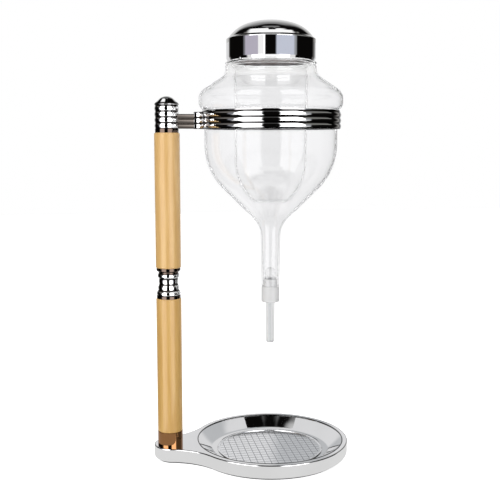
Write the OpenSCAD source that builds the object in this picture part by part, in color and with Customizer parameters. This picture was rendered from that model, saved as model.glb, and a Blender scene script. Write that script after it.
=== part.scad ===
// Stand brewer with a hanging glass chamber. Units are millimetres, +Z is up.
// The origin is on the axis of the glass, in the plane that the brewer stands on.

/* [Base] */
// Height of the base's top face above the table
base_top_z = 16; // [14:0.5:30]
// Radius of the round part of the base, under the glass
base_disc_r = 80.4; // [78.5:0.1:84]
// Radius of the small rounded heel, under the post
base_heel_r = 19.4; // [16:0.1:22]
// Distance of the heel's centre inside the post's axis
base_heel_shift = 3; // [0:0.5:5]
// Radius of the hollow curves that join heel and disc
base_waist_r = 60; // [50:1:75]
// Rounding of the base's lower edge
base_foot_round = 4; // [2:0.5:6]
// Rounding of the base's upper edge
base_top_round = 1; // [0.5:0.1:2]
// Thickness of the rubber pad under the base
pad_t = 1.5; // [1:0.1:3]
// Distance of the pad's edge from the base's outline
pad_inset = 5; // [4.5:0.5:10]
// Distance of the pad's access hole outside the counterbore for the nut
pad_hole_step = 0.5; // [0:0.1:2]

/* [Drip dish] */
// Width of the base's flat rim around the dish
dish_rim_w = 5.2; // [4.5:0.1:9]
// Rounding of the dish's rim
dish_rim_round = 0.8; // [0.4:0.1:1.5]
// Width of the flat ledge between the dish's wall and the seat of the grate
dish_ledge_w = 1; // [0.3:0.1:4]
// Height of that ledge above the seat of the grate
dish_foot_h = 1; // [0.5:0.1:2]
// Radius of the hollow curve at the foot of the dish's wall
dish_curve_r = 10; // [4:0.5:14]
// Radius of the seat that the grate lies in
grate_seat_r = 55; // [45:0.1:62]
// Height of the seat's floor above the table
grate_seat_z = 4; // [3:0.1:6]
// Gap around the grate
grate_gap = 0.3; // [0.2:0.1:1]
// Thickness of the grate's plate
grate_t = 1.2; // [1:0.1:2]
// Width of the grate's raised border
grate_border_w = 2.4; // [1.5:0.1:5]
// Height of the border above the plate
grate_border_h = 0.8; // [0.4:0.1:1.5]
// Distance from one groove of the grate to the next
groove_pitch = 6.66; // [5:0.01:12]
// Width of a groove
groove_w = 0.7; // [0.4:0.1:1.5]
// Depth of a groove
groove_d = 0.5; // [0.3:0.1:0.8]

/* [Post] */
// Distance of the post's axis from the glass axis
post_x = 104; // [103:0.5:106]
// Radius of the ferrule at the post's foot
ferrule_r = 12.7; // [11.5:0.1:14]
// Height of the ferrule
ferrule_h = 14; // [10:0.5:20]
// Thickness of the ferrule's floor
ferrule_floor_t = 3; // [2:0.5:5]
// Radius of both wooden grips
grip_r = 12.6; // [12:0.1:13.5]
// Chamfer at the ends of a grip
grip_chamfer = 0.8; // [0.3:0.1:1.5]
// Length of the lower grip between its end faces
lower_grip_l = 137.6; // [120:0.5:160]
// Length of the upper grip between its end faces
upper_grip_l = 133.8; // [120:0.5:160]
// Radius of the spigot at the foot of the lower grip
foot_spigot_r = 10; // [9:0.1:10.8]
// Wall of the middle joint around its sockets
socket_wall = 3.25; // [3.1:0.05:4]
// Depth of the sockets in the joint
socket_depth = 4.6; // [3:0.1:5]
// Clearance around and above a spigot
spigot_gap = 0.15; // [0.05:0.05:0.3]
// Radius of the two tie rods
rod_r = 4; // [3:0.1:5]
// Clearance around a tie rod
rod_gap = 0.1; // [0.05:0.05:0.2]
// Clearance between other pieces that are pressed or snapped together
press_gap = 0.1; // [0.05:0.05:0.2]

/* [Middle joint] */
// Radius of the plain band at each end
joint_band_r = 12; // [11.5:0.1:13]
// Height of the plain bands
joint_band_h = 2.7; // [2:0.1:4]
// Height of the hollow curve under the upper band
joint_cove_h = 2.9; // [2:0.1:4]
// Distance of each bead's crest inside the bands, from the bottom up
joint_bead_inset = [0, 1.5, 2.25, 1.1];
// Height of each bead
joint_bead_h = [5.6, 6, 5.6, 5.2];
// Distance of each bead's foot inside the bands, and of the last one's top
joint_neck_inset = [0.8, 1.8, 2.7, 2.7, 2.1];

/* [Head] */
// Radius of the plain collar on top of the upper grip
collar_r = 11.6; // [11:0.1:12.5]
// Height of the collar
collar_h = 3.9; // [3:0.1:6]
// Thickness of the collar's web, which the arm's eye stands on
collar_web_t = 1.5; // [1:0.1:2]
// Outer radius of the head's ribs
head_r = 12; // [11.5:0.1:13]
// Depth of the grooves between the ribs
head_groove_d = 0.9; // [0.4:0.1:1.2]
// Number of ribs on the head
head_ribs = 4; // [4:1:6]
// Height of one rib
head_rib_h = 5.6; // [5:0.1:8]
// Height of the bead under the dome
head_bead_h = 2.3; // [1.5:0.1:4]
// Distance of the dome's foot inside the ribs
dome_inset = 0.5; // [0.2:0.1:1]
// Radius of the rounding on top of the dome
dome_tip_r = 10.5; // [5:0.5:11]
// Slope of the dome's side
dome_slope = 43; // [35:1:50]
// Depth of the rod's hole above the arm
head_hole_h = 10; // [6:0.5:12]

/* [Arm and ring] */
// Height of the arm
arm_h = 14.3; // [10:0.1:15]
// Thickness of the arm
arm_t = 8; // [6:0.5:10]
// Distance of the ring's foot below the arm's foot
ring_drop = 0.2; // [0:0.1:1]
// Height of the ring's ribbed band
ring_h = 16.6; // [16.2:0.1:20]
// Wall of the ring
ring_wall = 3.3; // [2.8:0.1:5]
// Clearance between the ring and the bowl
ring_gap = 0.4; // [0.3:0.1:1]
// Depth of the grooves between the ribs of ring and arm
rib_d = 1.1; // [0.5:0.1:1.4]
// Number of ribs on ring and arm
rib_count = 3; // [2:1:4]
// Height of the ring's thin upper lip
lip_h = 2.2; // [1.5:0.1:4]
// Distance of the lip's outer face inside the ribs
lip_inset = 1.3; // [0.8:0.1:1.6]
// Radius of the fillets where the arm meets the ring
root_r = 8; // [6:0.5:12]
// Distance that the root stands proud of the arm's side
root_step = 0.8; // [0.3:0.1:2]
// Radius of the eye that the tie rod clamps
eye_r = 8; // [7:0.1:8.5]
// Clearance around the eye and the arm inside the head
eye_gap = 0.2; // [0.1:0.1:0.5]
// Width of the seal in the ring's rebate
ring_seal_w = 1.4; // [1:0.1:1.6]
// Height of that seal's outer side
ring_seal_h = 3; // [2:0.1:5]

/* [Brewing chamber] */
// Wall of the chamber's glass
glass_t = 2; // [1.5:0.1:2.2]
// Outer radius of the bowl
bowl_r = 66.5; // [64:0.1:68]
// Height of the bowl's straight side, below the seat in the ring
bowl_side_h = 32.7; // [28:0.5:50]
// Radius of the bowl's lower curve
bowl_curve_r = 62; // [50:1:66]
// Slope of the cone under the bowl
cone_slope = 44.5; // [40:0.5:50]
// Radius of the curve from the cone into the stem
cone_foot_r = 30; // [20:1:35]
// Outer radius of the stem where it leaves the cone
stem_top_r = 10.4; // [10:0.1:12]
// Outer radius of the stem at its open end
stem_end_r = 9.3; // [9.1:0.1:9.9]
// Length of the stem below the cone's curve
stem_l = 49.9; // [40:0.5:60]
// Length of the straight bore at the stem's end
stem_bore_l = 14; // [12:0.5:20]
// Radius of the hollow fillet between bowl and bulge
bulge_fillet_r = 1; // [0.5:0.1:1.5]
// Distance that the bulge above the ring stands out past the bowl
bulge_reach = 5.4; // [4.8:0.1:7]
// Radius of the bulge's lower curve
bulge_low_r = 9; // [8:0.5:10]
// Height of the bulge's straight side
bulge_side_h = 3.3; // [1:0.1:10]
// Radius of the bulge's upper curve
bulge_top_r = 12; // [8:0.5:14]
// Slope of the shoulder
shoulder_slope = 33.5; // [28:0.5:40]
// Radius of the curve from the shoulder into the neck
neck_curve_r = 9; // [6:0.5:12]
// Outer radius of the neck
neck_r = 45.4; // [44:0.1:47]
// Height of the neck's straight side
neck_h = 3.8; // [2:0.1:8]
// Rounding of the glass at open edges
glass_edge_r = 0.8; // [0.4:0.1:0.9]

/* [Inner flask] */
// Wall of the flask's glass
flask_t = 1.8; // [1.4:0.1:2.2]
// Outer radius of the flask's body
flask_r = 36.4; // [34:0.1:37]
// Radius of the flared mouth's curve
flare_r = 7.5; // [6:0.1:8.5]
// Distance of the flange's edge inside the chamber's neck
flange_inset = 0.9; // [0.4:0.1:1.4]
// Height of the flask's bottom above the foot of the chamber's cone
flask_foot_h = 35.8; // [31:0.1:60]
// Height of the flask's straight side
flask_side_h = 29.9; // [20:0.5:40]
// Radius of the flask's lower curve
flask_curve_r = 51; // [45:1:60]
// Slope at the foot of the lower curve
flask_slope = 51; // [48:1:60]
// Width of the straight slope between the lower curve and the corner
flask_bevel_w = 5; // [2:0.5:6]
// Radius of the corner at the flask's bottom
flask_corner_r = 8; // [5:0.5:9]
// Thickness of the seal under the flask's flange
flask_seal_t = 1.3; // [0.8:0.1:2]

/* [Lid] */
// Thickness of the lid's sheet metal
lid_t = 1.2; // [0.8:0.1:1.6]
// Distance of the lid's band inside the flask's flange
lid_inset = 0.2; // [0:0.1:1.2]
// Height of the band's straight side
lid_band_h = 19; // [12:0.1:30]
// Height of the band's tapered foot
lid_foot_h = 3.6; // [3:0.1:5]
// Distance that the foot tapers inward
lid_foot_inset = 1.6; // [0.8:0.1:2.2]
// Width of the step between band and dome
lid_step_w = 2.7; // [2.3:0.1:4]
// Height of the step between band and dome
lid_step_h = 1.5; // [1:0.1:2.5]
// Slope of the dome's side at its foot
lid_dome_slope = 55; // [45:1:70]
// Radius of the dome's flat crown
lid_crown_r = 79; // [60:1:90]
// Angle from the axis to the crown's edge
lid_crown_a = 18; // [12:0.5:22]
// Thickness of the liner
liner_h = 2; // [1.6:0.1:3]
// Height of the liner above the lid's lower edge, which its seal fills
liner_lift = 1.3; // [1.1:0.1:1.6]
// Width of that seal
lid_seal_w = 2; // [1:0.1:2.5]

/* [Dripper] */
// Distance of the stopper's side inside the stem's
stopper_inset = 0.1; // [0:0.1:0.6]
// Height of the stopper below the stem
stopper_h = 16; // [12:0.5:24]
// Height of the plug inside the stem
plug_h = 7; // [5:0.5:10]
// Running clearance of the plug in the stem and of the tube in the stopper
slide_gap = 0.05; // [0.02:0.01:0.09]
// Outer radius of the drip tube inside the stopper
tube_r = 4.8; // [4.6:0.05:5]
// Depth of the step from there to the tube's thinner free end
tube_step = 0.3; // [0.2:0.05:0.4]
// Distance of that step below the stopper
tube_step_drop = 0.6; // [0.4:0.1:2]
// Bore radius of the drip tube
tube_bore_r = 2.3; // [1.8:0.1:2.5]
// Length of the tube below the stopper
tube_drop = 42.2; // [30:0.5:60]
// Radius of the collar that stops the tube from falling out
tube_collar_r = 5.9; // [5.4:0.1:6.2]
// Height of that collar
tube_collar_h = 1.6; // [1:0.1:3]
// Radius of the valve's glass ball
ball_r = 5.2; // [4.6:0.1:5.8]

/* [Fasteners and gaps] */
// Gap left at rest between a lifted-off piece and its seat
seat_gap = 0.3; // [0.2:0.05:0.5]
// Depth of the counterbore under the post
nut_pocket_h = 10; // [9.5:0.1:10.5]
// Clearance around the washers in that counterbore
nut_pocket_gap = 1.1; // [0.5:0.1:1.5]
// Width across the nut's flats
nut_flats = 13; // [11:0.5:14]
// Height of the nut
nut_h = 4; // [3:0.5:4.5]
// Thickness of the flat washer
washer_t = 1.6; // [1:0.1:2]
// Outer radius of the flat washer
washer_r = 8.4; // [7:0.1:8.8]
// Thickness of the spring washer
spring_washer_t = 2; // [1.5:0.1:2.2]
// Outer radius of the spring washer
spring_washer_r = 7.2; // [6:0.1:8]
// Length of rod that stands out below the nut
rod_end_l = 0.8; // [0.4:0.1:1]

/* [Hidden] */
$fn = 96;

// Segments in one arc of a turned profile
arc_n = 12;
// Reach of a cut past the face that it opens
cut = 1;
// Depth that the web's corners reach into disc and heel
web_root = 3;
// Depth that the web's sides dip into disc and heel, so that the faces cross
web_blend = 0.05;

// Base levels
dish_foot_z = grate_seat_z + dish_foot_h;
dish_r = base_disc_r - dish_rim_w;
dish_foot_r = grate_seat_r + dish_ledge_w;
grate_r = grate_seat_r - grate_gap;
grate_field_r = grate_r - grate_border_w;

base_heel_x = post_x - base_heel_shift;

// Centre of the hollow curve that touches both the disc and the heel
waist_x = -(pow(base_disc_r + base_waist_r, 2) - pow(base_heel_r + base_waist_r, 2)
    + pow(base_heel_x, 2)) / (2 * base_heel_x);
waist_y = sqrt(pow(base_disc_r + base_waist_r, 2) - pow(waist_x, 2));

// Post levels
grip_low_z = base_top_z + ferrule_h;
joint_z = grip_low_z + lower_grip_l;
joint_cove_z = bead_z(len(joint_bead_h));
joint_top_z = joint_cove_z + joint_cove_h + joint_band_h;
joint_mid_z = (joint_z + joint_top_z) / 2;
collar_z = joint_top_z + upper_grip_l;
arm_z = collar_z + collar_h;
head_bead_z = arm_z + head_ribs * head_rib_h;
dome_z = head_bead_z + head_bead_h;
dome_r = head_r - dome_inset;
dome_tip_z = dome_z + (dome_r - dome_tip_r * sin(dome_slope)) * tan(dome_slope)
    - dome_tip_r * cos(dome_slope);
rod_hole_r = rod_r + rod_gap;
socket_r = joint_band_r - socket_wall;
spigot_r = socket_r - spigot_gap;
joint_cove_r = joint_band_r - joint_neck_inset[len(joint_bead_h)];
head_hole_z = arm_z + arm_h + eye_gap + head_hole_h;

// Fastener levels, down from the ceiling of the counterbore
nut_pocket_r = washer_r + nut_pocket_gap;
pad_hole_r = nut_pocket_r + pad_hole_step;
pocket_z = pad_t + nut_pocket_h;
washer_z = pocket_z - washer_t;
spring_washer_z = washer_z - spring_washer_t;
nut_z = spring_washer_z - nut_h;
rod_low_z = nut_z - rod_end_l;

// Ring levels and radii
ring_z = arm_z - ring_drop;
ring_top_z = ring_z + ring_h;
lip_z = ring_top_z + lip_h;
ring_bore_r = bowl_r + ring_gap;
ring_r = ring_bore_r + ring_wall;
lip_r = ring_r - lip_inset;
seal_bed_r = ring_bore_r + ring_seal_w;
seal_bed_z = lip_z - ring_seal_h;

// Centre of the fillet between the root's side and the ring
root_y = arm_t / 2 + root_step;
root_c = [-sqrt(pow(ring_r + root_r, 2) - pow(root_y + root_r, 2)), root_y + root_r];

// The bulge of the chamber rests on the ring's seal
bulge_r = bowl_r + bulge_reach;
bulge_c = bulge_r - bulge_low_r;
bulge_z = lip_z + seat_gap + sqrt(pow(bulge_low_r, 2) - pow(seal_bed_r - bulge_c, 2));
fillet_c = bowl_r + bulge_fillet_r;
fillet_reach = bulge_low_r + bulge_fillet_r;
fillet_a = acos((bulge_c - fillet_c) / fillet_reach);
fillet_z = bulge_z - fillet_reach * sin(fillet_a);
bowl_z = fillet_z - bowl_side_h;
cone_reach = bowl_curve_r + cone_foot_r;
cone_z = bowl_z - cone_reach * cos(cone_slope)
    - tan(cone_slope) * (bowl_r - stem_top_r - cone_reach * (1 - sin(cone_slope)));
stem_z = cone_z - stem_l;
stem_bore_r = stem_end_r - glass_t;
bulge_top_z = bulge_z + bulge_side_h;
shoulder_reach = bulge_top_r + neck_curve_r;
neck_z = bulge_top_z + shoulder_reach * cos(shoulder_slope)
    + tan(shoulder_slope) * (bulge_r - neck_r - shoulder_reach * (1 - sin(shoulder_slope)));
neck_top_z = neck_z + neck_h;

// The flask hangs by its flange on the chamber's neck
flask_seal_z = neck_top_z + seat_gap;
flange_z = flask_seal_z + flask_seal_t;
flange_r = neck_r - flange_inset;
flare_z = flange_z - flare_r;
flask_z = cone_z + flask_foot_h;
flask_corner_z = flask_z + flask_corner_r;
flask_corner_c = flask_r - flask_curve_r * (1 - sin(flask_slope)) - flask_bevel_w
    - flask_corner_r * sin(flask_slope);
flask_curve_z = flask_corner_z + (flask_curve_r - flask_corner_r) * cos(flask_slope)
    + flask_bevel_w * tan(flask_slope);

// The lid's tapered foot rests in the flask's flared mouth
mouth_r = flare_r + flask_t;
lid_r = flange_r - lid_inset;
lid_edge_r = lid_r - lid_foot_inset;
lid_edge_z = flare_z + sqrt(pow(mouth_r + seat_gap, 2) - pow(flange_r - lid_edge_r, 2));
lid_foot_z = lid_edge_z + lid_foot_h;
lid_step_z = lid_foot_z + lid_band_h;

// Crown and shoulder of the lid's dome touch at the crown's edge
lid_dome_r = lid_r - lid_step_w;
lid_dome_z = lid_step_z + lid_step_h;
lid_shoulder_r = (lid_dome_r - lid_crown_r * sin(lid_crown_a))
    / (sin(lid_dome_slope) - sin(lid_crown_a));
lid_shoulder_c = [(lid_crown_r - lid_shoulder_r) * sin(lid_crown_a),
    lid_dome_z - lid_shoulder_r * cos(lid_dome_slope)];
lid_crown_c = [0, lid_shoulder_c[1] - (lid_crown_r - lid_shoulder_r) * cos(lid_crown_a)];

liner_z = lid_edge_z + liner_lift;
liner_top_z = liner_z + liner_h;

// The stopper closes the stem's end
stopper_top_z = stem_z - seat_gap;
stopper_z = stopper_top_z - stopper_h;
stopper_r = stem_end_r - stopper_inset;
plug_top_z = stem_z + plug_h;
plug_r = stem_bore_r - slide_gap;
tube_z = stopper_z - tube_drop;
tube_end_r = tube_r - tube_step;
tube_collar_z = plug_top_z + seat_gap;
tube_top_z = tube_collar_z + tube_collar_h;
ball_z = tube_top_z + seat_gap + sqrt(pow(ball_r, 2) - pow(tube_bore_r, 2));

// Points on an arc around c, from angle a0 to angle a1
function arc(c, r, a0, a1, n = arc_n) =
    [for (i = [0:n]) let (a = a0 + (a1 - a0) * i / n) [c[0] + r * cos(a), c[1] + r * sin(a)]];

// The same points in the other order
function reversed(list) = [for (i = [len(list) - 1:-1:0]) list[i]];

// Bead of height h from radius r0 at height z to radius r1, which bulges out to r_out
function bead(r0, r1, r_out, z, h, n = 10) =
    [for (i = [0:n]) let (s = i / n)
        [r0 + (r1 - r0) * s + (r_out - (r0 + r1) / 2) * sin(180 * s), z + h * s]];

// Height of the foot of the middle joint's bead number i
function bead_z(i) = i == 0 ? joint_z + joint_band_h : bead_z(i - 1) + joint_bead_h[i - 1];

// Point at distance r from the origin, towards the hollow curve's centre
function towards_waist(r) = [waist_x, waist_y] * r / norm([waist_x, waist_y]);

// Point at distance r from the heel's centre, towards the hollow curve's centre
function heel_to_waist(r) = let (v = [waist_x + base_heel_x, waist_y])
    [-base_heel_x, 0] + v * r / norm(v);

// Mirror image across the X axis
function flipped(p) = [p[0], -p[1]];

// Insets and heights of the base's edge, from the bottom up
base_edge = concat(
    [for (i = [0:8]) let (a = 90 * i / 8)
        [base_foot_round * (1 - sin(a)), pad_t + base_foot_round * (1 - cos(a))]],
    [for (i = [0:4]) let (a = 90 * i / 4)
        [base_top_round * (1 - cos(a)), base_top_z - base_top_round * (1 - sin(a))]]);

// Insets and heights of the ring's ribs, and of the arm's, from the bottom up
function ribs(z, h) = [for (k = [0:rib_count - 1], i = [0:8]) if (k == 0 || i > 0)
    [rib_d * (1 - sin(180 * i / 8)), z + h * (k + i / 8) / rib_count]];

// Outer side of the chamber, set in by t, from the stem up to the neck
function chamber_side(t) = concat(
    arc([stem_top_r + cone_foot_r, cone_z], cone_foot_r + t, 180, 90 + cone_slope),
    arc([bowl_r - bowl_curve_r, bowl_z], bowl_curve_r - t, cone_slope - 90, 0, 2 * arc_n),
    arc([fillet_c, fillet_z], bulge_fillet_r + t, 180, fillet_a, 6),
    arc([bulge_c, bulge_z], bulge_low_r - t, fillet_a - 180, 0),
    arc([bulge_r - bulge_top_r, bulge_top_z], bulge_top_r - t, 0, 90 - shoulder_slope),
    arc([neck_r + neck_curve_r, neck_z], neck_curve_r + t, 270 - shoulder_slope, 180));

// Outer side of the flask, set in by t, from its bottom up to its flange
function flask_side(t) = concat(
    [[0, flask_z + t]],
    arc([flask_corner_c, flask_corner_z], flask_corner_r - t, -90, flask_slope - 90),
    arc([flask_r - flask_curve_r, flask_curve_z], flask_curve_r - t, flask_slope - 90, 0),
    [[flask_r - t, flask_curve_z + flask_side_h]],
    arc([flange_r, flare_z], flare_r + t, 180, 90));

// Lid's dome, set in by t, from its foot up to the top
function lid_dome(t) = concat(
    arc(lid_shoulder_c, lid_shoulder_r - t, 90 - lid_dome_slope, 90 - lid_crown_a),
    arc(lid_crown_c, lid_crown_r - t, 90 - lid_crown_a, 90));

// Radius of what fits inside the lid at height z
function liner_side(z) = lid_r - lid_t - press_gap
    - lid_foot_inset * max(0, 1 - (z - lid_edge_z) / lid_foot_h);

// Turned solid from a profile of radii and heights
module turned(points) {
    rotate_extrude() polygon(points);
}

// Ring of plain section
module hoop(r_out, r_in, z, h) {
    turned([[r_in, z], [r_out, z], [r_out, z + h], [r_in, z + h]]);
}

// Places its children on the post's axis
module at_post() {
    translate([-post_x, 0, 0]) children();
}

// Plan of the base, moved in by d
module base_plan(d) {
    corners = [towards_waist(base_disc_r - d), heel_to_waist(base_heel_r - d)];
    difference() {
        union() {
            circle(r = base_disc_r - d);
            translate([-base_heel_x, 0]) circle(r = base_heel_r - d);
            polygon(concat(corners, reversed([for (p = corners) flipped(p)])));
        }
        for (s = [-1, 1]) translate([waist_x, s * waist_y]) circle(r = base_waist_r + d);
    }
}

// Web between disc and heel, with the hollow curves and their rounded edges cut into its sides
module base_web() {
    inner = base_foot_round + web_root;
    corners = [towards_waist(base_disc_r - inner), towards_waist(base_disc_r),
        heel_to_waist(base_heel_r), heel_to_waist(base_heel_r - inner)];
    side_r = base_waist_r + web_blend;
    difference() {
        translate([0, 0, pad_t]) linear_extrude(base_top_z - pad_t)
            polygon(concat(corners, reversed([for (p = corners) flipped(p)])));
        for (s = [-1, 1]) translate([waist_x, s * waist_y, 0]) turned(concat(
            [[0, pad_t - cut], [side_r + base_foot_round, pad_t - cut]],
            [for (e = base_edge) [side_r + e[0], e[1]]],
            [[side_r + base_top_round, base_top_z + cut], [0, base_top_z + cut]]));
    }
}

// Space of the dish, with the seat for the grate at its foot. The wall's straight slope runs from the
// rim to where it touches the curve.
module dish_space() {
    curve_c = [dish_foot_r, dish_foot_z + dish_curve_r];
    reach = [dish_r, base_top_z - dish_rim_round] - curve_c;
    slope_a = atan2(reach[1], reach[0]) - acos(dish_curve_r / norm(reach));
    turned(concat(
        [[0, grate_seat_z], [grate_seat_r, grate_seat_z], [grate_seat_r, dish_foot_z]],
        arc(curve_c, dish_curve_r, -90, slope_a),
        arc([dish_r + dish_rim_round, base_top_z - dish_rim_round], dish_rim_round, 180, 90, 5),
        [[dish_r + dish_rim_round, base_top_z + cut], [0, base_top_z + cut]]));
}

module base_pad() {
    color("dimgray") difference() {
        linear_extrude(pad_t) base_plan(pad_inset);
        at_post() translate([0, 0, -cut]) cylinder(r = pad_hole_r, h = pad_t + 2 * cut);
    }
}

module base_casting() {
    color("lightgray") difference() {
        union() {
            turned(concat([[0, pad_t]], [for (e = base_edge) [base_disc_r - e[0], e[1]]],
                [[0, base_top_z]]));
            translate([-base_heel_x, 0, 0]) turned(concat([[0, pad_t]],
                [for (e = base_edge) [base_heel_r - e[0], e[1]]], [[0, base_top_z]]));
            base_web();
        }
        dish_space();
        at_post() {
            cylinder(r = rod_hole_r, h = base_top_z + cut);
            cylinder(r = nut_pocket_r, h = pocket_z);
        }
    }
}

module drip_grate() {
    plate_z = grate_seat_z + grate_t;
    rows = floor((grate_field_r - groove_w) / groove_pitch);
    color("silver") difference() {
        turned(concat(
            [[0, grate_seat_z], [grate_r, grate_seat_z]],
            [for (i = [0:8]) let (a = 180 * i / 8)
                [grate_r - grate_border_w * (1 - cos(a)) / 2, plate_z + grate_border_h * sin(a)]],
            [[0, plate_z]]));
        for (turn = [0, 90], i = [-rows:rows]) {
            length = 2 * sqrt(pow(grate_field_r - groove_w, 2) - pow(i * groove_pitch, 2));
            rotate([0, 0, turn])
                translate([i * groove_pitch - groove_w / 2, -length / 2, plate_z - groove_d])
                    cube([groove_w, length, groove_d + cut]);
        }
    }
}

module base_ferrule() {
    color("rosybrown") at_post() turned([
        [rod_hole_r, base_top_z], [ferrule_r, base_top_z], [ferrule_r, grip_low_z],
        [foot_spigot_r + spigot_gap, grip_low_z],
        [foot_spigot_r + spigot_gap, base_top_z + ferrule_floor_t],
        [rod_hole_r, base_top_z + ferrule_floor_t]]);
}

// Wooden grip between two end faces, with a spigot at each end and the rod's hole through it
module grip(z, length, low_r, low_z, top_z) {
    top = z + length;
    color("burlywood") at_post() turned([
        [rod_hole_r, low_z], [low_r, low_z], [low_r, z], [grip_r - grip_chamfer, z],
        [grip_r, z + grip_chamfer], [grip_r, top - grip_chamfer], [grip_r - grip_chamfer, top],
        [spigot_r, top], [spigot_r, top_z], [rod_hole_r, top_z]]);
}

module lower_grip() {
    grip(grip_low_z, lower_grip_l, foot_spigot_r, base_top_z + ferrule_floor_t + spigot_gap,
        joint_z + socket_depth - spigot_gap);
}

module middle_joint() {
    bead_count = len(joint_bead_h);
    color("gainsboro") at_post() turned(concat(
        [[socket_r, joint_z], [joint_band_r, joint_z], [joint_band_r, joint_z + joint_band_h]],
        [for (i = [0:bead_count - 1]) each bead(
            joint_band_r - joint_neck_inset[i], joint_band_r - joint_neck_inset[i + 1],
            joint_band_r - joint_bead_inset[i], bead_z(i), joint_bead_h[i])],
        [for (i = [1:6]) let (a = 90 * i / 6)
            [joint_cove_r + (joint_band_r - joint_cove_r) * (1 - cos(a)),
            joint_cove_z + joint_cove_h * sin(a)]],
        [[joint_band_r, joint_top_z], [socket_r, joint_top_z],
        [socket_r, joint_top_z - socket_depth], [rod_hole_r, joint_top_z - socket_depth],
        [rod_hole_r, joint_z + socket_depth], [socket_r, joint_z + socket_depth]]));
}

module upper_grip() {
    grip(joint_top_z, upper_grip_l, spigot_r, joint_top_z - socket_depth + spigot_gap,
        arm_z - collar_web_t - spigot_gap);
}

module head_collar() {
    color("gainsboro") at_post() turned([
        [socket_r, collar_z], [collar_r, collar_z], [collar_r, arm_z], [rod_hole_r, arm_z],
        [rod_hole_r, arm_z - collar_web_t], [socket_r, arm_z - collar_web_t]]);
}

module head_cap() {
    foot_r = head_r - head_groove_d;
    slot_w = arm_t + 2 * eye_gap;
    color("gainsboro") at_post() difference() {
        turned(concat(
            [[0, arm_z]],
            [for (i = [0:head_ribs - 1]) each
                bead(foot_r, foot_r, head_r, arm_z + i * head_rib_h, head_rib_h)],
            bead(foot_r, dome_r, head_r, head_bead_z, head_bead_h, 6),
            arc([0, dome_tip_z], dome_tip_r, 90 - dome_slope, 90)));
        translate([0, 0, arm_z - cut]) {
            cylinder(r = eye_r + eye_gap, h = arm_h + eye_gap + cut);
            translate([0, -slot_w / 2, 0]) cube([head_r + cut, slot_w, arm_h + eye_gap + cut]);
        }
        translate([0, 0, arm_z]) cylinder(r = rod_hole_r, h = head_hole_z - arm_z);
    }
}

// Tie rod between two heights
module rod(z0, z1) {
    color("slategray") at_post() translate([0, 0, z0]) cylinder(r = rod_r, h = z1 - z0);
}

module lower_rod() {
    rod(rod_low_z, joint_mid_z - press_gap);
}

module upper_rod() {
    rod(joint_mid_z + press_gap, head_hole_z - press_gap);
}

module base_nut() {
    color("silver") at_post() translate([0, 0, nut_z]) difference() {
        cylinder(r = nut_flats / 2 / cos(30), h = nut_h, $fn = 6);
        translate([0, 0, -cut]) cylinder(r = rod_hole_r, h = nut_h + 2 * cut);
    }
}

module base_washer() {
    color("silver") at_post() hoop(washer_r, rod_hole_r, washer_z, washer_t);
}

module spring_washer() {
    split_w = 1.5;
    color("slategray") at_post() difference() {
        hoop(spring_washer_r, rod_hole_r, spring_washer_z, spring_washer_t);
        translate([0, -split_w / 2, 0])
            cube([spring_washer_r + cut, split_w, pocket_z]);
    }
}

module arm_ring() {
    edge = ribs(ring_z, ring_h);
    color("gainsboro") difference() {
        union() {
            turned(concat(
                [[0, ring_z]], [for (e = edge) [ring_r - e[0], e[1]]], [[lip_r, ring_top_z]],
                arc([lip_r - lip_h / 2, lip_z - lip_h / 2], lip_h / 2, 0, 90, 6), [[0, lip_z]]));
            difference() {
                translate([0, 0, ring_z]) linear_extrude(ring_h) root_plan();
                for (s = [-1, 1]) translate([root_c[0], s * root_c[1], 0]) turned(concat(
                    [[0, ring_z - cut], [root_r + rib_d, ring_z - cut]],
                    [for (e = edge) [root_r + e[0], e[1]]],
                    [[root_r + rib_d, ring_top_z + cut], [0, ring_top_z + cut]]));
            }
            arm_bar();
            at_post() translate([0, 0, arm_z]) cylinder(r = eye_r, h = arm_h);
        }
        translate([0, 0, ring_z - cut]) cylinder(r = ring_bore_r, h = lip_z - ring_z + 2 * cut);
        translate([0, 0, seal_bed_z]) cylinder(r = seal_bed_r, h = ring_seal_h + cut);
        at_post() translate([0, 0, arm_z - cut]) cylinder(r = rod_hole_r, h = arm_h + 2 * cut);
    }
}

// Plan of the flared root where the arm meets the ring
module root_plan() {
    reach = norm(root_c);
    corners = [root_c * (ring_r - rib_d) / reach, root_c * ring_r / reach, [root_c[0], root_y]];
    polygon(concat(corners, reversed([for (p = corners) flipped(p)])));
}

// Straight ribbed bar from the eye into the root
module arm_bar() {
    side = [for (e = ribs(arm_z, arm_h)) [arm_t / 2 - e[0], e[1]]];
    translate([-post_x, 0, 0]) rotate([90, 0, 90]) linear_extrude(post_x - ring_r + rib_d)
        polygon(concat(side, reversed([for (p = side) [-p[0], p[1]]])));
}

module ring_seal() {
    inner_r = ring_bore_r + slide_gap;
    top_r = bulge_low_r + seat_gap;
    a0 = -acos((inner_r - bulge_c) / top_r);
    a1 = -acos((seal_bed_r - bulge_c) / top_r);
    color("whitesmoke") turned(concat(
        [[inner_r, seal_bed_z]],
        reversed(concat([[seal_bed_r, seal_bed_z]], reversed(arc([bulge_c, bulge_z], top_r, a0, a1, 4))))));
}

module brew_chamber() {
    color("lightblue", 0.5) turned(concat(
        arc([stem_end_r - glass_edge_r, stem_z + glass_edge_r], glass_edge_r, -90, 0, 5),
        chamber_side(0),
        arc([neck_r - glass_edge_r, neck_top_z - glass_edge_r], glass_edge_r, 0, 90, 5),
        arc([neck_r - glass_t + glass_edge_r, neck_top_z - glass_edge_r], glass_edge_r, 90, 180, 5),
        reversed(chamber_side(glass_t)),
        [[stem_bore_r, stem_z + stem_bore_l], [stem_bore_r, stem_z]]));
}

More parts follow.
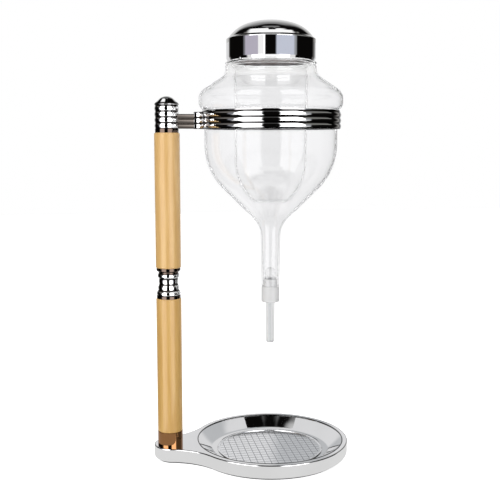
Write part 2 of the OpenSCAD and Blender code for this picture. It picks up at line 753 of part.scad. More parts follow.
module inner_flask() {
    color("lightcyan", 0.5) turned(concat(
        flask_side(0),
        arc([flange_r, flange_z + flask_t / 2], flask_t / 2, -90, 90, 6),
        reversed(flask_side(flask_t))));
}

module flask_seal() {
    inner_r = neck_r - glass_t;
    outer_r = neck_r - glass_edge_r;
    top_r = flare_r - press_gap;
    a0 = acos((outer_r - flange_r) / top_r);
    a1 = acos((inner_r - flange_r) / top_r);
    color("whitesmoke") turned(concat(
        [[inner_r, flask_seal_z], [outer_r, flask_seal_z]],
        arc([flange_r, flare_z], top_r, a0, a1, 4)));
}

module lid_shell() {
    corner_r = 1;
    color("gainsboro") turned(concat(
        [[lid_edge_r - lid_t, lid_edge_z], [lid_edge_r, lid_edge_z], [lid_r, lid_foot_z]],
        arc([lid_r - corner_r, lid_step_z - corner_r], corner_r, 0, 90, 4),
        lid_dome(0),
        reversed(lid_dome(lid_t)),
        [[lid_r - lid_t, lid_step_z - lid_t], [lid_r - lid_t, lid_foot_z]]));
}

module lid_liner() {
    color("saddlebrown") turned([[0, liner_z], [liner_side(liner_z), liner_z],
        [liner_side(liner_top_z), liner_top_z], [0, liner_top_z]]);
}

module lid_seal() {
    seal_r = liner_side(lid_edge_z);
    color("whitesmoke") hoop(seal_r, seal_r - lid_seal_w, lid_edge_z, liner_lift);
}

module drip_stopper() {
    edge_r = 0.8;
    bore_r = tube_r + slide_gap;
    color("lavender") turned(concat(
        [[bore_r, stopper_z]],
        arc([stopper_r - edge_r, stopper_z + edge_r], edge_r, -90, 0, 5),
        arc([stopper_r - edge_r, stopper_top_z - edge_r], edge_r, 0, 90, 5),
        [[plug_r, stopper_top_z], [plug_r, plug_top_z - edge_r], [plug_r - edge_r, plug_top_z],
        [bore_r, plug_top_z]]));
}

module drip_tube() {
    tip_r = 1.6;
    color("aliceblue") turned(concat(
        [[tube_bore_r, tube_z]],
        arc([tube_end_r - tip_r, tube_z + tip_r], tip_r, -90, 0, 6),
        [[tube_end_r, stopper_z - tube_step_drop], [tube_r, stopper_z - tube_step_drop],
        [tube_r, tube_collar_z], [tube_collar_r, tube_collar_z], [tube_collar_r, tube_top_z],
        [tube_bore_r, tube_top_z]]));
}

module valve_ball() {
    color("white") translate([0, 0, ball_z]) sphere(r = ball_r);
}

base_pad();
base_casting();
drip_grate();
base_ferrule();
lower_grip();
middle_joint();
upper_grip();
head_collar();
head_cap();
lower_rod();
upper_rod();
base_nut();
base_washer();
spring_washer();
arm_ring();
ring_seal();
brew_chamber();
inner_flask();
flask_seal();
lid_shell();
lid_liner();
lid_seal();
drip_stopper();
drip_tube();
valve_ball();
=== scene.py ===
import math

import bmesh
import bpy
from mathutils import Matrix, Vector


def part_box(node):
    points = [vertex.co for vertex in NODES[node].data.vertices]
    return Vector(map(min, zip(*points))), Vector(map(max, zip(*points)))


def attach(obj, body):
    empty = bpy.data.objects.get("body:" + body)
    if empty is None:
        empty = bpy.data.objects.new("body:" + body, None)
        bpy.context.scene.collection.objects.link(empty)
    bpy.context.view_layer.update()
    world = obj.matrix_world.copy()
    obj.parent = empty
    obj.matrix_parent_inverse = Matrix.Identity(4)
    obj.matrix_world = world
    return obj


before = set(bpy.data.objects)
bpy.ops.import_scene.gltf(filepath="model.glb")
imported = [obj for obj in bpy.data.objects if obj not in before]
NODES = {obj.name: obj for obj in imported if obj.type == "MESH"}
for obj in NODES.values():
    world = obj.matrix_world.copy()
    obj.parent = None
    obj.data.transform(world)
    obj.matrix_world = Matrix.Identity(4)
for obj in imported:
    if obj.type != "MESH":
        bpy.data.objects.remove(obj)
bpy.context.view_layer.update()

# Camera, fitted to the rims, the post and the grid of the grate
CAMERA_PLACE = Vector((-0.16744, -0.85428, 0.32384))
CAMERA_YAW = math.radians(9.72)  # turned from +Y towards +X
CAMERA_PITCH = math.radians(7.21)  # tipped down
SENSOR_MM = 36.0
FRAME_PX = 500
FOCAL_PX = 860

# Level directions from the camera, which the studio is laid out around
AHEAD = Vector((math.sin(CAMERA_YAW), math.cos(CAMERA_YAW), 0))
RIGHT = Vector((math.cos(CAMERA_YAW), -math.sin(CAMERA_YAW), 0))

# Axis of the post, from the grip that stands on it
GRIP_LOW, GRIP_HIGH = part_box("lower_grip")
POST_X = (GRIP_LOW.x + GRIP_HIGH.x) / 2

# Plan of the base: round disc around the origin, round heel past the post, and hollow waists between them
BASE_LOW, BASE_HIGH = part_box("base_casting")
DISC_R = BASE_HIGH.x
HEEL_SHIFT = 0.003
HEEL_R = POST_X + HEEL_SHIFT - BASE_LOW.x
WAIST_R = 0.060
OUTLINE_STEP = 0.004

# Thin dark bead around the dish, a painted dark reflection on its rounded edge: radius of its circle, radius
# of its bead, and how far below the base's top its middle lies
DISH_EDGE_R = 0.0752
DISH_BEAD_R = 0.00055
DISH_EDGE_DROP = 0.0002
DISH_EDGE_STEPS = 160

# Thin dark bead around the base's top, a painted dark reflection on its rounded edge: how far it lies in from
# the outline and below the top, and its bead
BASE_EDGE_INSET = 0.00045
BASE_EDGE_DROP = 0.0004
BASE_BEAD_R = 0.00042
BEAD_SIDES = 8


class Tree:
    """Short calls for making the nodes of one node tree. A value may be a number, a colour or a socket."""

    def __init__(self, owner):
        owner.use_nodes = True
        self.nodes = owner.node_tree.nodes
        self.links = owner.node_tree.links
        self.nodes.clear()

    def put(self, socket, value):
        if isinstance(value, bpy.types.NodeSocket):
            self.links.new(value, socket)
        elif value is not None:
            socket.default_value = value

    def add(self, kind, **inputs):
        """A node with its inputs set by name, with _ for a space."""
        node = self.nodes.new(kind)
        for name, value in inputs.items():
            self.put(node.inputs[name.replace("_", " ")], value)
        return node

    def math(self, operation, a, b=None):
        node = self.nodes.new("ShaderNodeMath")
        node.operation = operation
        self.put(node.inputs[0], a)
        self.put(node.inputs[1], b)
        return node.outputs[0]

    def vector(self, operation, a, b=None, scale=None):
        node = self.nodes.new("ShaderNodeVectorMath")
        node.operation = operation
        self.put(node.inputs[0], a)
        self.put(node.inputs[1], b)
        if scale is not None:
            self.put(node.inputs["Scale"], scale)
        return node.outputs["Value" if operation in ("DOT_PRODUCT", "LENGTH") else "Vector"]

    def remap(self, value, low, high, to_low=0.0, to_high=1.0):
        """Smooth step from to_low to to_high while value goes from low to high."""
        node = self.nodes.new("ShaderNodeMapRange")
        node.interpolation_type = "SMOOTHSTEP"
        self.put(node.inputs["Value"], value)
        self.put(node.inputs["From Min"], low)
        self.put(node.inputs["From Max"], high)
        self.put(node.inputs["To Min"], to_low)
        self.put(node.inputs["To Max"], to_high)
        return node.outputs["Result"]

    def mix(self, factor, a, b, blend="MIX"):
        """Colour a where factor is 0, and b where it is 1."""
        node = self.nodes.new("ShaderNodeMix")
        node.data_type = "RGBA"
        node.blend_type = blend
        colours = [s for s in node.inputs if s.type == "RGBA"]
        self.put(node.inputs[0], factor)
        self.put(colours[0], a)
        self.put(colours[1], b)
        return next(s for s in node.outputs if s.type == "RGBA")

    def mix_shader(self, factor, a, b):
        """Shader a where factor is 0, and b where it is 1."""
        node = self.nodes.new("ShaderNodeMixShader")
        self.put(node.inputs[0], factor)
        self.links.new(a.outputs[0], node.inputs[1])
        self.links.new(b.outputs[0], node.inputs[2])
        return node

    def place(self):
        """Point on the surface in metres, in the object's own frame."""
        return self.nodes.new("ShaderNodeTexCoord").outputs["Object"]

    def path(self):
        """What kind of ray it is, as outputs by name."""
        return self.nodes.new("ShaderNodeLightPath").outputs

    def xyz(self, vector):
        node = self.nodes.new("ShaderNodeSeparateXYZ")
        self.put(node.inputs[0], vector)
        return node.outputs

    def join(self, x, y, z):
        node = self.nodes.new("ShaderNodeCombineXYZ")
        for socket, value in zip(node.inputs, (x, y, z)):
            self.put(socket, value)
        return node.outputs[0]

    def noise(self, vector, scale, detail=3.0, roughness=0.5):
        node = self.add("ShaderNodeTexNoise", Vector=vector, Scale=scale, Detail=detail, Roughness=roughness)
        return node.outputs[0]

    def bump(self, height, depth, strength=1.0):
        """Normal of a surface whose height runs from 0 to 1 over depth, in metres."""
        return self.add("ShaderNodeBump", Height=height, Distance=depth, Strength=strength).outputs[0]

    def finish(self, shader):
        """Makes shader the look of the material."""
        self.links.new(shader.outputs[0], self.nodes.new("ShaderNodeOutputMaterial").inputs["Surface"])


def grey(level):
    return (level, level, level, 1)


def dimmed(colour, share):
    return tuple(c * share for c in colour[:3]) + (1,)


def add_object(name, data):
    o = bpy.data.objects.new(name, data)
    bpy.context.scene.collection.objects.link(o)
    return o


def new_material(name):
    """A material, and the tree in which its look is made."""
    m = bpy.data.materials.new(name)
    return m, Tree(m)


# ---------------------------------------------------------------- studio

# Directions in the studio are an azimuth, from behind the camera to its right, and an elevation, in degrees.

DIFFUSE_LEVEL = 0.62  # what matt surfaces get from the room
DARK_ROOM = (0.003, 0.0027, 0.0025, 1)
WHITE = grey(1.04)
WINDOW = (3.4, 3.4, 3.45, 1)

# Panels that shine on metal and glass, each with its span across, its span up, the blur of its edges and its
# colour. A later one covers those before it.
PANELS = (
    ((-75, -60), (-36, 44), 6, (0.20, 0.20, 0.22, 1)),  # dim frame of the left window
    ((-120, -66), (26, 56), 8, (0.16, 0.15, 0.14, 1)),  # dim walls, high on both sides
    ((60, 120), (13, 52), 6, (0.20, 0.20, 0.19, 1)),
    ((-130, 116), (56, 96), 8, WHITE),  # light overhead, and a dark patch at its edge
    ((-27, 27), (50, 67), 9, grey(0.08)),
    ((-62, -18), (-54, 54), 7, WINDOW),  # left and right window
    ((16, 58), (-46, 54), 6, WINDOW),
    ((56, 67), (-46, 20), 5, (0.30, 0.31, 0.33, 1)),  # dim frame of the right window
    ((-70, -33), (2.5, 10.5), 2, (0.47, 0.44, 0.52, 1)),  # screens that the lid's upright band mirrors
    ((-34, -19), (2.5, 10.5), 3, grey(0.92)),
    ((12, 60), (2.5, 10.5), 6, (0.56, 0.59, 0.69, 1)),
    ((-72, -58), (-40, -28), 4, grey(0.75)),  # low cards, left, in the middle and right
    ((-24, 24), (-46.5, -39), 2.5, WHITE),
    ((54, 72), (-45, -29), 4, grey(0.80)),
)

# Pale backdrop behind the object. Its level changes from the sides to the middle, and falls off upwards.
BACKDROP = 0.68
BACKDROP_LEFT = (0.52, 0.52, 0.51, 1)
BACKDROP_RIGHT = (0.26, 0.25, 0.24, 1)
BACKDROP_TOP = 0.2
BACKDROP_MIDDLE = (142, 172)  # azimuths between the level at the sides and that in the middle
BACKDROP_FALL = (18, 59)  # elevations between its own level and that at the top
BACKDROP_START = 138  # azimuth of its edges near the table, on both sides
BACKDROP_TAPER = 16  # what is added to that azimuth higher up
TAPER_SPAN = (16, 38)  # elevations over which it is added
BACKDROP_BLUR = 8  # reach of its soft edges to both sides
CEILING_EDGE = (54, 62)  # elevations between the backdrop and the black ceiling

# Grey strip across the ceiling behind the object: its span up, the azimuths at which it starts, and its level
STRIP_UP = (70, 80)
STRIP_START = (144, 152)
STRIP_BLUR = 4
STRIP_LEVEL = 0.2

# Pale table top that metal mirrors, as an oval around the foot: its middle and its half axes
TABLE_X = -0.02
TABLE_REACH = (0.185, 0.165)
TABLE_LEVEL = 0.72
FLOOR_HALF = 3.0
FLOOR_PAPER = 0.9
FLOOR_GLOW = 0.55

# Curved card behind the object that only mirrored rays see: radius, foot, top, and the azimuth of its start
CARD_R = 0.20
CARD_FOOT = 0.001
CARD_TOP = 0.44
CARD_START = 128
CARD_STEPS = 24

# Tones of the card, and the places to the right of its middle between which each gives way to the next
CARD_LEVEL = (0.71, 0.71, 0.72, 1)
CARD_STRIPE = (0.49, 0.50, 0.515, 1)
CARD_END = grey(0.10)
STRIPE_START = (0.0, 0.022)
STRIPE_END = (0.07, 0.09)
END_START = (0.11, 0.155)

# Soft lamps that face the glass: name, azimuth, elevation, distance, side and power
LAMPS = (
    ("key", -42, 32, 1.3, 0.7, 9),
    ("fill", 45, 28, 1.4, 0.7, 6),
)
LAMP_TARGET = Vector((-0.03, 0, 0.22))


def level_direction(azimuth):
    a = math.radians(azimuth)
    return -AHEAD * math.cos(a) + RIGHT * math.sin(a)


def direction_angles(t):
    """Azimuth and elevation of a ray that reaches the world."""
    ray = t.nodes.new("ShaderNodeTexCoord").outputs["Generated"]
    right = t.vector("DOT_PRODUCT", ray, tuple(RIGHT))
    back = t.vector("DOT_PRODUCT", ray, tuple(-AHEAD))
    azimuth = t.math("DEGREES", t.math("ARCTAN2", right, back))
    elevation = t.math("DEGREES", t.math("ARCSINE", t.xyz(ray)[2]))
    return azimuth, elevation


def band(t, value, span, blur):
    """1 inside a span of degrees, falling to 0 over blur at both ends."""
    rise = t.remap(value, span[0] - blur / 2, span[0] + blur / 2)
    fall = t.remap(value, span[1] - blur / 2, span[1] + blur / 2, 1.0, 0.0)
    return t.math("MULTIPLY", rise, fall)


def add_backdrop(t, mirrored, azimuth, elevation):
    """The mirrored room with the ceiling's strip and the backdrop put over it."""
    around = t.math("ABSOLUTE", azimuth)
    sides = t.mix(t.remap(azimuth, -1, 1), BACKDROP_LEFT, BACKDROP_RIGHT)
    backdrop = t.mix(t.remap(around, *BACKDROP_MIDDLE), sides, grey(BACKDROP))
    backdrop = t.mix(t.remap(elevation, *BACKDROP_FALL), backdrop, grey(BACKDROP_TOP))
    edge = t.math("ADD", t.remap(elevation, *TAPER_SPAN, 0.0, BACKDROP_TAPER), BACKDROP_START)
    behind = t.remap(t.math("SUBTRACT", around, edge), -BACKDROP_BLUR, BACKDROP_BLUR)
    behind = t.math("MULTIPLY", behind, t.remap(elevation, *CEILING_EDGE, 1.0, 0.0))
    strip = t.math("MULTIPLY", t.remap(around, *STRIP_START), band(t, elevation, STRIP_UP, STRIP_BLUR))
    mirrored = t.mix(strip, mirrored, grey(STRIP_LEVEL))
    return t.mix(behind, mirrored, backdrop)


def make_world():
    """White to the camera and through glass, grey to matt surfaces, and a dark room with lit panels to the
    rays that metal and glass mirror."""
    world = bpy.data.worlds.new("studio")
    bpy.context.scene.world = world
    t = Tree(world)
    azimuth, elevation = direction_angles(t)
    mirrored = DARK_ROOM
    for across, up, blur, tint in PANELS:
        inside = t.math("MULTIPLY", band(t, azimuth, across, blur), band(t, elevation, up, blur))
        mirrored = t.mix(inside, mirrored, tint)
    mirrored = add_backdrop(t, mirrored, azimuth, elevation)

    path = t.path()
    shown = t.mix(path["Is Transmission Ray"], mirrored, grey(1.0))
    shown = t.mix(path["Is Diffuse Ray"], shown, grey(DIFFUSE_LEVEL))
    shown = t.mix(path["Is Camera Ray"], shown, grey(1.0))
    light = t.add("ShaderNodeBackground", Color=shown, Strength=1.0)
    t.links.new(light.outputs[0], t.nodes.new("ShaderNodeOutputWorld").inputs["Surface"])


def add_lamp(name, azimuth, elevation, distance, side, power):
    e = math.radians(elevation)
    away = level_direction(azimuth) * math.cos(e) + Vector((0, 0, math.sin(e)))
    lamp = bpy.data.lights.new(name, "AREA")
    lamp.shape = "SQUARE"
    lamp.size = side
    lamp.energy = power
    o = add_object(name, lamp)
    o.location = LAMP_TARGET + away * distance
    o.rotation_euler = (-away).to_track_quat("-Z", "Y").to_euler()
    o.visible_glossy = False
    o.visible_camera = False
    o.visible_transmission = False


def floor_paper():
    """Paper that holds the shadow. Mirrored rays see an oval of it near the foot, and the room beyond."""
    m, t = new_material("floor_paper")
    paper = t.add("ShaderNodeBsdfDiffuse", Color=grey(FLOOR_PAPER))
    glow = t.add("ShaderNodeEmission", Color=grey(1.0), Strength=FLOOR_GLOW)
    lit = t.nodes.new("ShaderNodeAddShader")
    t.links.new(paper.outputs[0], lit.inputs[0])
    t.links.new(glow.outputs[0], lit.inputs[1])
    path = t.path()
    shown = t.mix_shader(t.math("MAXIMUM", path["Is Camera Ray"], path["Is Transmission Ray"]), paper, lit)

    x, y, _ = t.xyz(t.place())
    across = t.math("DIVIDE", t.math("SUBTRACT", x, TABLE_X), TABLE_REACH[0])
    reach = t.vector("LENGTH", t.join(across, t.math("DIVIDE", y, TABLE_REACH[1]), 0.0))
    near = t.add("ShaderNodeEmission", Color=grey(TABLE_LEVEL), Strength=1.0)
    beyond = t.add("ShaderNodeBsdfTransparent", Color=grey(1.0))
    mirrored = t.mix_shader(t.remap(reach, 0.95, 1.05), near, beyond)
    t.finish(t.mix_shader(path["Is Glossy Ray"], shown, mirrored))
    return m


def make_floor():
    corners = [(x * FLOOR_HALF, y * FLOOR_HALF, 0) for x, y in ((-1, -1), (1, -1), (1, 1), (-1, 1))]
    mesh = bpy.data.meshes.new("floor")
    mesh.from_pydata(corners, [], [(0, 1, 2, 3)])
    mesh.materials.append(floor_paper())
    add_object("floor", mesh)


def card_paper():
    """Paper that glows in mirrored rays, with a darker stripe right of its middle and a dark right end."""
    m, t = new_material("card_paper")
    clear = t.add("ShaderNodeBsdfTransparent", Color=grey(1.0))
    across = t.vector("DOT_PRODUCT", t.place(), tuple(RIGHT))
    level = t.mix(t.remap(across, *STRIPE_START), CARD_LEVEL, CARD_STRIPE)
    level = t.mix(t.remap(across, *STRIPE_END), level, CARD_LEVEL)
    level = t.mix(t.remap(across, *END_START), level, CARD_END)
    glow = t.add("ShaderNodeEmission", Color=level, Strength=1.0)
    t.finish(t.mix_shader(t.path()["Is Glossy Ray"], clear, glow))
    return m


def make_card():
    verts, faces = [], []
    for i in range(CARD_STEPS + 1):
        x, y, _ = level_direction(CARD_START + (360 - 2 * CARD_START) * i / CARD_STEPS) * CARD_R
        verts += [(x, y, CARD_FOOT), (x, y, CARD_TOP)]
        if i:
            k = 2 * i
            faces.append((k - 2, k, k + 1, k - 1))
    mesh = bpy.data.meshes.new("card")
    mesh.from_pydata(verts, [], faces)
    mesh.materials.append(card_paper())
    card = add_object("card", mesh)
    for kind in ("camera", "diffuse", "transmission", "shadow", "volume_scatter"):
        setattr(card, "visible_" + kind, False)


def make_camera():
    camera = bpy.data.cameras.new("camera")
    camera.sensor_width = SENSOR_MM
    camera.lens = SENSOR_MM * FOCAL_PX / FRAME_PX
    camera.clip_start = 0.05
    camera.clip_end = 20
    o = add_object("camera", camera)
    o.location = CAMERA_PLACE
    o.rotation_euler = (math.pi / 2 - CAMERA_PITCH, 0, -CAMERA_YAW)
    bpy.context.scene.camera = o


# ---------------------------------------------------------------- materials

# Heights of the grooves and plain bands on the turned pieces, above each piece's foot
HEAD_GROOVES = (0.0, 0.0056, 0.0112, 0.0168, 0.0224, 0.0247)
JOINT_GROOVES = (0.0027, 0.0083, 0.0143, 0.0199, 0.0251)
JOINT_BANDS = ((0.0, 0.0027), (0.0251, 0.0309))
COLLAR_BANDS = ((0.0, 0.006),)
RING_GROOVES = (0.0, 0.00553, 0.01107, 0.0166)
ARM_END_X = -0.0772  # where the plain arm meets the ribs of the ring

# Distances from a groove over which its painted shade fades, and the blurs at the ends of a band and of the
# arm
GROOVE_FADE = (0.0005, 0.0014)
BAND_BLUR = 0.0002
ARM_BLUR = 0.0004
# Painted shade for the grooves
GROOVE_SHADE = (0.035, 0.03, 0.028, 1)
# Painted dark brown reflection for the plain bands
BAND_REFLECTION = (0.11, 0.08, 0.065, 1)
# Painted dark reflection for the plain arm
ARM_REFLECTION = (0.15, 0.13, 0.115, 1)

# Height of the grate's border above its plate, and the depths in the plate between which the painted shade of
# its grooves starts
GRATE_BORDER_H = 0.0008
GRATE_GROOVE = (0.0001, 0.0003)

# Heights between which the glass loses its painted dark outline, under the ground rims that the lid sits on
RIM_FADE = (0.3850, 0.3905)
RIM_LOSS = 0.9
# Heights between which the thick glass of the stem gives way to the bowl, and the share of light it passes
STEM_FADE = (0.243, 0.258)
STEM_TINT = 0.94

# Heights over which the lower grip's warmer honey tone fades out, and its share at the bottom
HONEY_FADE = (0.10, 0.26)
HONEY_SHARE = 0.75


def plated(t, place, tone, rough):
    """Mirror plating over metal that isn't quite flat."""
    waves = t.bump(t.noise(place, 60, 2), 0.00002, 0.3)
    return t.add("ShaderNodeBsdfPrincipled", Base_Color=tone, Metallic=1.0, Roughness=rough, Normal=waves)


def shiny(name, colour, rough_low, rough_high):
    """Mirror plating whose polish varies a little, with faint rubbing marks."""
    m, t = new_material(name)
    place = t.place()
    cloud = t.noise(place, 22, 4)
    marks = t.noise(t.vector("MULTIPLY", place, (1, 1, 7)), 900, 2)
    wear = t.math("ADD", t.math("MULTIPLY", cloud, 0.8), t.math("MULTIPLY", marks, 0.2))
    tone = t.mix(t.remap(cloud, 0.3, 0.7), dimmed(colour, 0.96), colour)
    t.finish(plated(t, place, tone, t.remap(wear, 0.35, 0.65, rough_low, rough_high)))
    return m


def ribbed_chrome(name, node, grooves, bands=(), arm=None):
    """Plated metal with painted shade in its grooves, which makes them darker than its beads. Grooves are
    heights above the node's foot, bands are spans of height with a painted dark brown reflection, and arm is
    the X up to which a painted dark reflection runs."""
    m, t = new_material(name)
    place = t.place()
    cloud = t.noise(place, 22, 4)
    x, _, z = t.xyz(place)
    height = t.math("SUBTRACT", z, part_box(node)[0].z)
    tone = t.mix(t.remap(cloud, 0.3, 0.7), grey(0.90), grey(0.94))
    # Painted shade in each groove
    for groove in grooves:
        distance = t.math("ABSOLUTE", t.math("SUBTRACT", height, groove))
        tone = t.mix(t.remap(distance, *GROOVE_FADE, 1.0, 0.0), tone, GROOVE_SHADE)
    # Painted dark brown reflection on each plain band
    for low, high in bands:
        above = t.remap(height, low - BAND_BLUR, low)
        below = t.remap(height, high, high + BAND_BLUR, 1.0, 0.0)
        tone = t.mix(t.math("MULTIPLY", above, below), tone, BAND_REFLECTION)
    # Painted dark reflection on the plain arm
    if arm is not None:
        tone = t.mix(t.remap(x, arm - ARM_BLUR, arm, 1.0, 0.0), tone, ARM_REFLECTION)
    t.finish(plated(t, place, tone, t.remap(cloud, 0.35, 0.65, 0.015, 0.04)))
    return m


def glass(name, colour, edge=(0.36, 0.37, 0.39, 1), edge_start=0.72, ior=1.04, coat=1.0):
    """Clear thin glass: what is behind it hardly bends, its skin mirrors the room, and edge-on it darkens
    through a painted dark outline.
    """
    m, t = new_material(name)
    place = t.place()
    facing = t.add("ShaderNodeLayerWeight", Blend=0.5).outputs["Facing"]
    height = t.xyz(place)[2]
    rim = t.remap(height, *RIM_FADE)
    kept = t.math("SUBTRACT", 1.0, t.math("MULTIPLY", rim, RIM_LOSS))
    # Painted dark outline where the glass is seen edge-on, faded out under the rims
    painted_outline = t.math("MULTIPLY", t.remap(facing, edge_start, 0.98), kept)
    body = t.mix(t.remap(height, *STEM_FADE), dimmed(colour, STEM_TINT), colour)
    shader = t.add(
        "ShaderNodeBsdfPrincipled",
        Base_Color=t.mix(painted_outline, t.mix(rim, body, grey(1.0)), edge),
        Roughness=0.0,
        IOR=ior,
        Transmission_Weight=1.0,
        Coat_Weight=coat,
        Coat_Roughness=0.0,
        Coat_IOR=1.5,
        Normal=t.bump(t.noise(place, 18, 1), 0.0001, 0.15),
    )
    clear = t.add("ShaderNodeBsdfTransparent", Color=grey(0.93))
    t.finish(t.mix_shader(t.path()["Is Shadow Ray"], shader, clear))
    return m


def grate_steel():
    """Bright plate with painted shade in its grooves."""
    m, t = new_material("grate_steel")
    place = t.place()
    grain = t.noise(place, 400, 3)
    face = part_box("drip_grate")[1].z - GRATE_BORDER_H
    # Painted shade in the grooves of the plate
    low = t.remap(t.xyz(place)[2], face - GRATE_GROOVE[1], face - GRATE_GROOVE[0], 1.0, 0.0)
    tone = t.mix(t.remap(grain, 0.3, 0.7), (0.94, 0.945, 0.955, 1), (0.98, 0.985, 0.99, 1))
    shader = t.add(
        "ShaderNodeBsdfPrincipled",
        Base_Color=t.mix(low, tone, (0.36, 0.37, 0.39, 1)),
        Metallic=1.0,
        Roughness=t.remap(grain, 0.3, 0.7, 0.10, 0.16),
        Normal=t.bump(grain, 0.00001),
    )
    t.finish(shader)
    return m


def wood():
    """Varnished pale wood whose grain runs up the post."""
    m, t = new_material("grip_wood")
    place = t.vector("SUBTRACT", t.place(), (POST_X, 0, 0))
    x, y, z = t.xyz(place)
    slow = t.join(x, y, t.math("MULTIPLY", z, 0.05))
    sway = t.add("ShaderNodeTexNoise", Vector=slow, Scale=40).outputs[1]
    bent = t.vector("ADD", slow, t.vector("SCALE", sway, scale=0.006))
    rings = t.noise(bent, 320, 3, 0.6)
    fibre = t.noise(t.join(x, y, t.math("MULTIPLY", z, 0.02)), 2600, 2)
    tone = t.mix(t.remap(rings, 0.3, 0.7), (0.50, 0.305, 0.112, 1), (0.56, 0.365, 0.150, 1))
    tone = t.mix(t.remap(fibre, 0.35, 0.65, 0.0, 0.35), tone, (0.41, 0.23, 0.070, 1))
    honey = t.remap(z, *HONEY_FADE, HONEY_SHARE, 0.0)
    shader = t.add(
        "ShaderNodeBsdfPrincipled",
        Base_Color=t.mix(honey, tone, (0.90, 0.84, 0.55, 1), "MULTIPLY"),
        Roughness=0.35,
        Coat_Weight=0.35,
        Coat_Roughness=0.09,
        Normal=t.bump(fibre, 0.00003, 0.4),
    )
    t.finish(shader)
    return m


def plain(name, colour, rough, grain_scale, grain_depth, metallic=0.0, specular=0.5):
    """Matt moulded or plated surface with a fine grain."""
    m, t = new_material(name)
    grain = t.noise(t.place(), grain_scale, 3)
    shader = t.add(
        "ShaderNodeBsdfPrincipled",
        Base_Color=t.mix(t.remap(grain, 0.3, 0.7), dimmed(colour, 0.88), colour),
        Metallic=metallic,
        Specular_IOR_Level=specular,
        Roughness=t.remap(grain, 0.3, 0.7, rough * 0.85, rough),
        Normal=t.bump(grain, grain_depth),
    )
    t.finish(shader)
    return m


def silicone(name, colour):
    """Milky rubber that lets some light through."""
    m, t = new_material(name)
    place = t.place()
    cloud = t.noise(place, 90, 2)
    shader = t.add(
        "ShaderNodeBsdfPrincipled",
        Base_Color=t.mix(t.remap(cloud, 0.3, 0.7), dimmed(colour, 0.95), colour),
        Roughness=0.3,
        IOR=1.41,
        Transmission_Weight=0.25,
        Normal=t.bump(t.noise(place, 1500, 2), 0.00002, 0.3),
    )
    t.finish(shader)
    return m


# ---------------------------------------------------------------- pieces


def base_outline(inset):
    """Plan of the base moved in by inset, as a closed loop of points."""
    heel_x = POST_X + HEEL_SHIFT
    to_waist = (DISC_R + WAIST_R, HEEL_R + WAIST_R)
    waist_x = (to_waist[0] ** 2 - to_waist[1] ** 2 + heel_x ** 2) / (2 * heel_x)
    waist_y = math.sqrt(to_waist[0] ** 2 - waist_x ** 2)
    to_disc = math.atan2(-waist_y, -waist_x)
    to_heel = math.atan2(-waist_y, heel_x - waist_x)
    arcs = (
        (0, 0, DISC_R - inset, 0, to_disc + math.pi),
        (waist_x, waist_y, WAIST_R + inset, to_disc, to_heel),
        (heel_x, 0, HEEL_R - inset, to_heel + math.pi, math.pi),
    )
    upper = []
    for x, y, r, start, end in arcs:
        steps = max(2, round(r * abs(end - start) / OUTLINE_STEP))
        for i in range(steps):
            a = start + (end - start) * i / steps
            upper.append((x + r * math.cos(a), y + r * math.sin(a)))
    upper.append((heel_x - HEEL_R + inset, 0))
    return upper + [(x, -y) for x, y in reversed(upper[1:-1])]


def circle(r, steps):
    turns = (2 * math.pi * i / steps for i in range(steps))
    return [(r * math.cos(a), r * math.sin(a)) for a in turns]


def add_bead(name, loop, z, r, material):
    """Narrow bead that follows a closed loop at height z, which paints the dark reflection along a rounded
    edge.
    """
    bm = bmesh.new()
    rows = []
    for i, (x, y) in enumerate(loop):
        (x0, y0), (x1, y1) = loop[i - 1], loop[(i + 1) % len(loop)]
        side = Vector((y1 - y0, x0 - x1, 0)).normalized()
        middle = Vector((x, y, z))
        rows.append([bm.verts.new(middle + side * u + Vector((0, 0, v))) for u, v in circle(r, BEAD_SIDES)])
    for i in range(len(loop)):
        here, after = rows[i], rows[(i + 1) % len(loop)]
        for k in range(BEAD_SIDES):
            n = (k + 1) % BEAD_SIDES
            bm.faces.new((here[k], after[k], after[n], here[n])).smooth = True
    bmesh.ops.recalc_face_normals(bm, faces=bm.faces)
    mesh = bpy.data.meshes.new(name)
    bm.to_mesh(mesh)
    bm.free()
    mesh.materials.append(material)
    bead = add_object(name, mesh)
    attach(bead, "stand")


def add_base_edges():
    """Painted dark reflections on the polished base's rounded edges, as dark beads around the dish and around
    the outline.
    """
    # Dark plating for the beads that paint the dark reflection of the rounded edges
    edge = shiny("base_edge", grey(0.05), 0.03, 0.06)
    top = BASE_HIGH.z
    add_bead("dish_bead", circle(DISH_EDGE_R, DISH_EDGE_STEPS), top - DISH_EDGE_DROP, DISH_BEAD_R, edge)
    add_bead("base_edge_bead", base_outline(BASE_EDGE_INSET), top - BASE_EDGE_DROP, BASE_BEAD_R, edge)


def dress(material, *nodes):
    for node in nodes:
        for slot in NODES[node].material_slots:
            slot.material = material


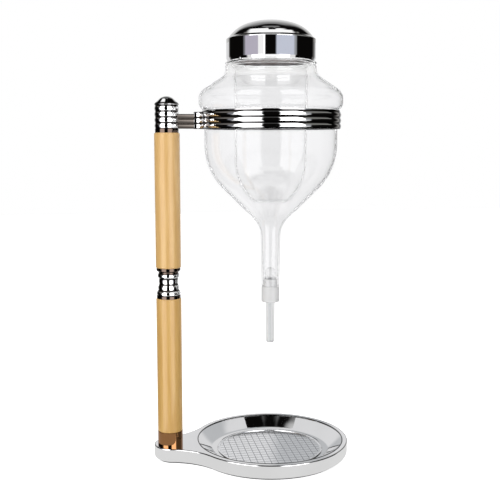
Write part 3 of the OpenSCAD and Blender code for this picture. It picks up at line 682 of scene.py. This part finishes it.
def dress_stand():
    dress(ribbed_chrome("joint_chrome", "middle_joint", JOINT_GROOVES, JOINT_BANDS), "middle_joint")
    dress(ribbed_chrome("collar_chrome", "head_collar", (), COLLAR_BANDS), "head_collar")
    dress(ribbed_chrome("head_chrome", "head_cap", HEAD_GROOVES), "head_cap")
    dress(ribbed_chrome("ring_chrome", "arm_ring", RING_GROOVES, arm=ARM_END_X), "arm_ring")
    dress(shiny("ferrule_chrome", (0.34, 0.165, 0.068, 1), 0.04, 0.08), "base_ferrule")
    dress(shiny("base_plate", grey(0.95), 0.015, 0.04), "base_casting")
    dress(grate_steel(), "drip_grate")
    dress(wood(), "lower_grip", "upper_grip")
    dress(silicone("seal_silicone", (0.85, 0.86, 0.87, 1)), "ring_seal")
    dress(plain("pad_rubber", (0.03, 0.03, 0.032, 1), 0.7, 1800, 0.00005), "base_pad")
    steel = plain("rod_steel", (0.5, 0.51, 0.53, 1), 0.35, 900, 0.00002, metallic=1.0)
    dress(steel, "lower_rod", "upper_rod")
    zinc = plain("fastener_steel", (0.6, 0.6, 0.62, 1), 0.35, 900, 0.00002, metallic=1.0)
    dress(zinc, "base_nut", "base_washer", "spring_washer")


def dress_brewer():
    dress(shiny("lid_chrome", grey(0.95), 0.012, 0.03), "lid_shell")
    dress(plain("liner_brown", (0.075, 0.035, 0.028, 1), 0.6, 300, 0.00002, specular=0.05), "lid_liner")
    dress(glass("chamber_glass", (0.975, 0.975, 0.98, 1)), "brew_chamber")
    dress(glass("flask_glass", grey(0.965)), "inner_flask")
    tube = glass("tube_glass", (0.82, 0.825, 0.83, 1), edge=(0.55, 0.56, 0.58, 1), edge_start=0.4, ior=1.12)
    dress(tube, "drip_tube")
    ball = glass("ball_glass", grey(0.97), edge=(0.4, 0.4, 0.41, 1), edge_start=0.6, ior=1.45, coat=0.0)
    dress(ball, "valve_ball")
    dress(silicone("stopper_silicone", grey(0.64)), "drip_stopper")
    dress(glass("clear_silicone", grey(0.96), coat=0.3), "flask_seal", "lid_seal")


make_camera()
make_world()
for lamp in LAMPS:
    add_lamp(*lamp)
make_floor()
make_card()
dress_stand()
dress_brewer()
add_base_edges()

bpy.context.scene.view_settings.view_transform = "Standard"
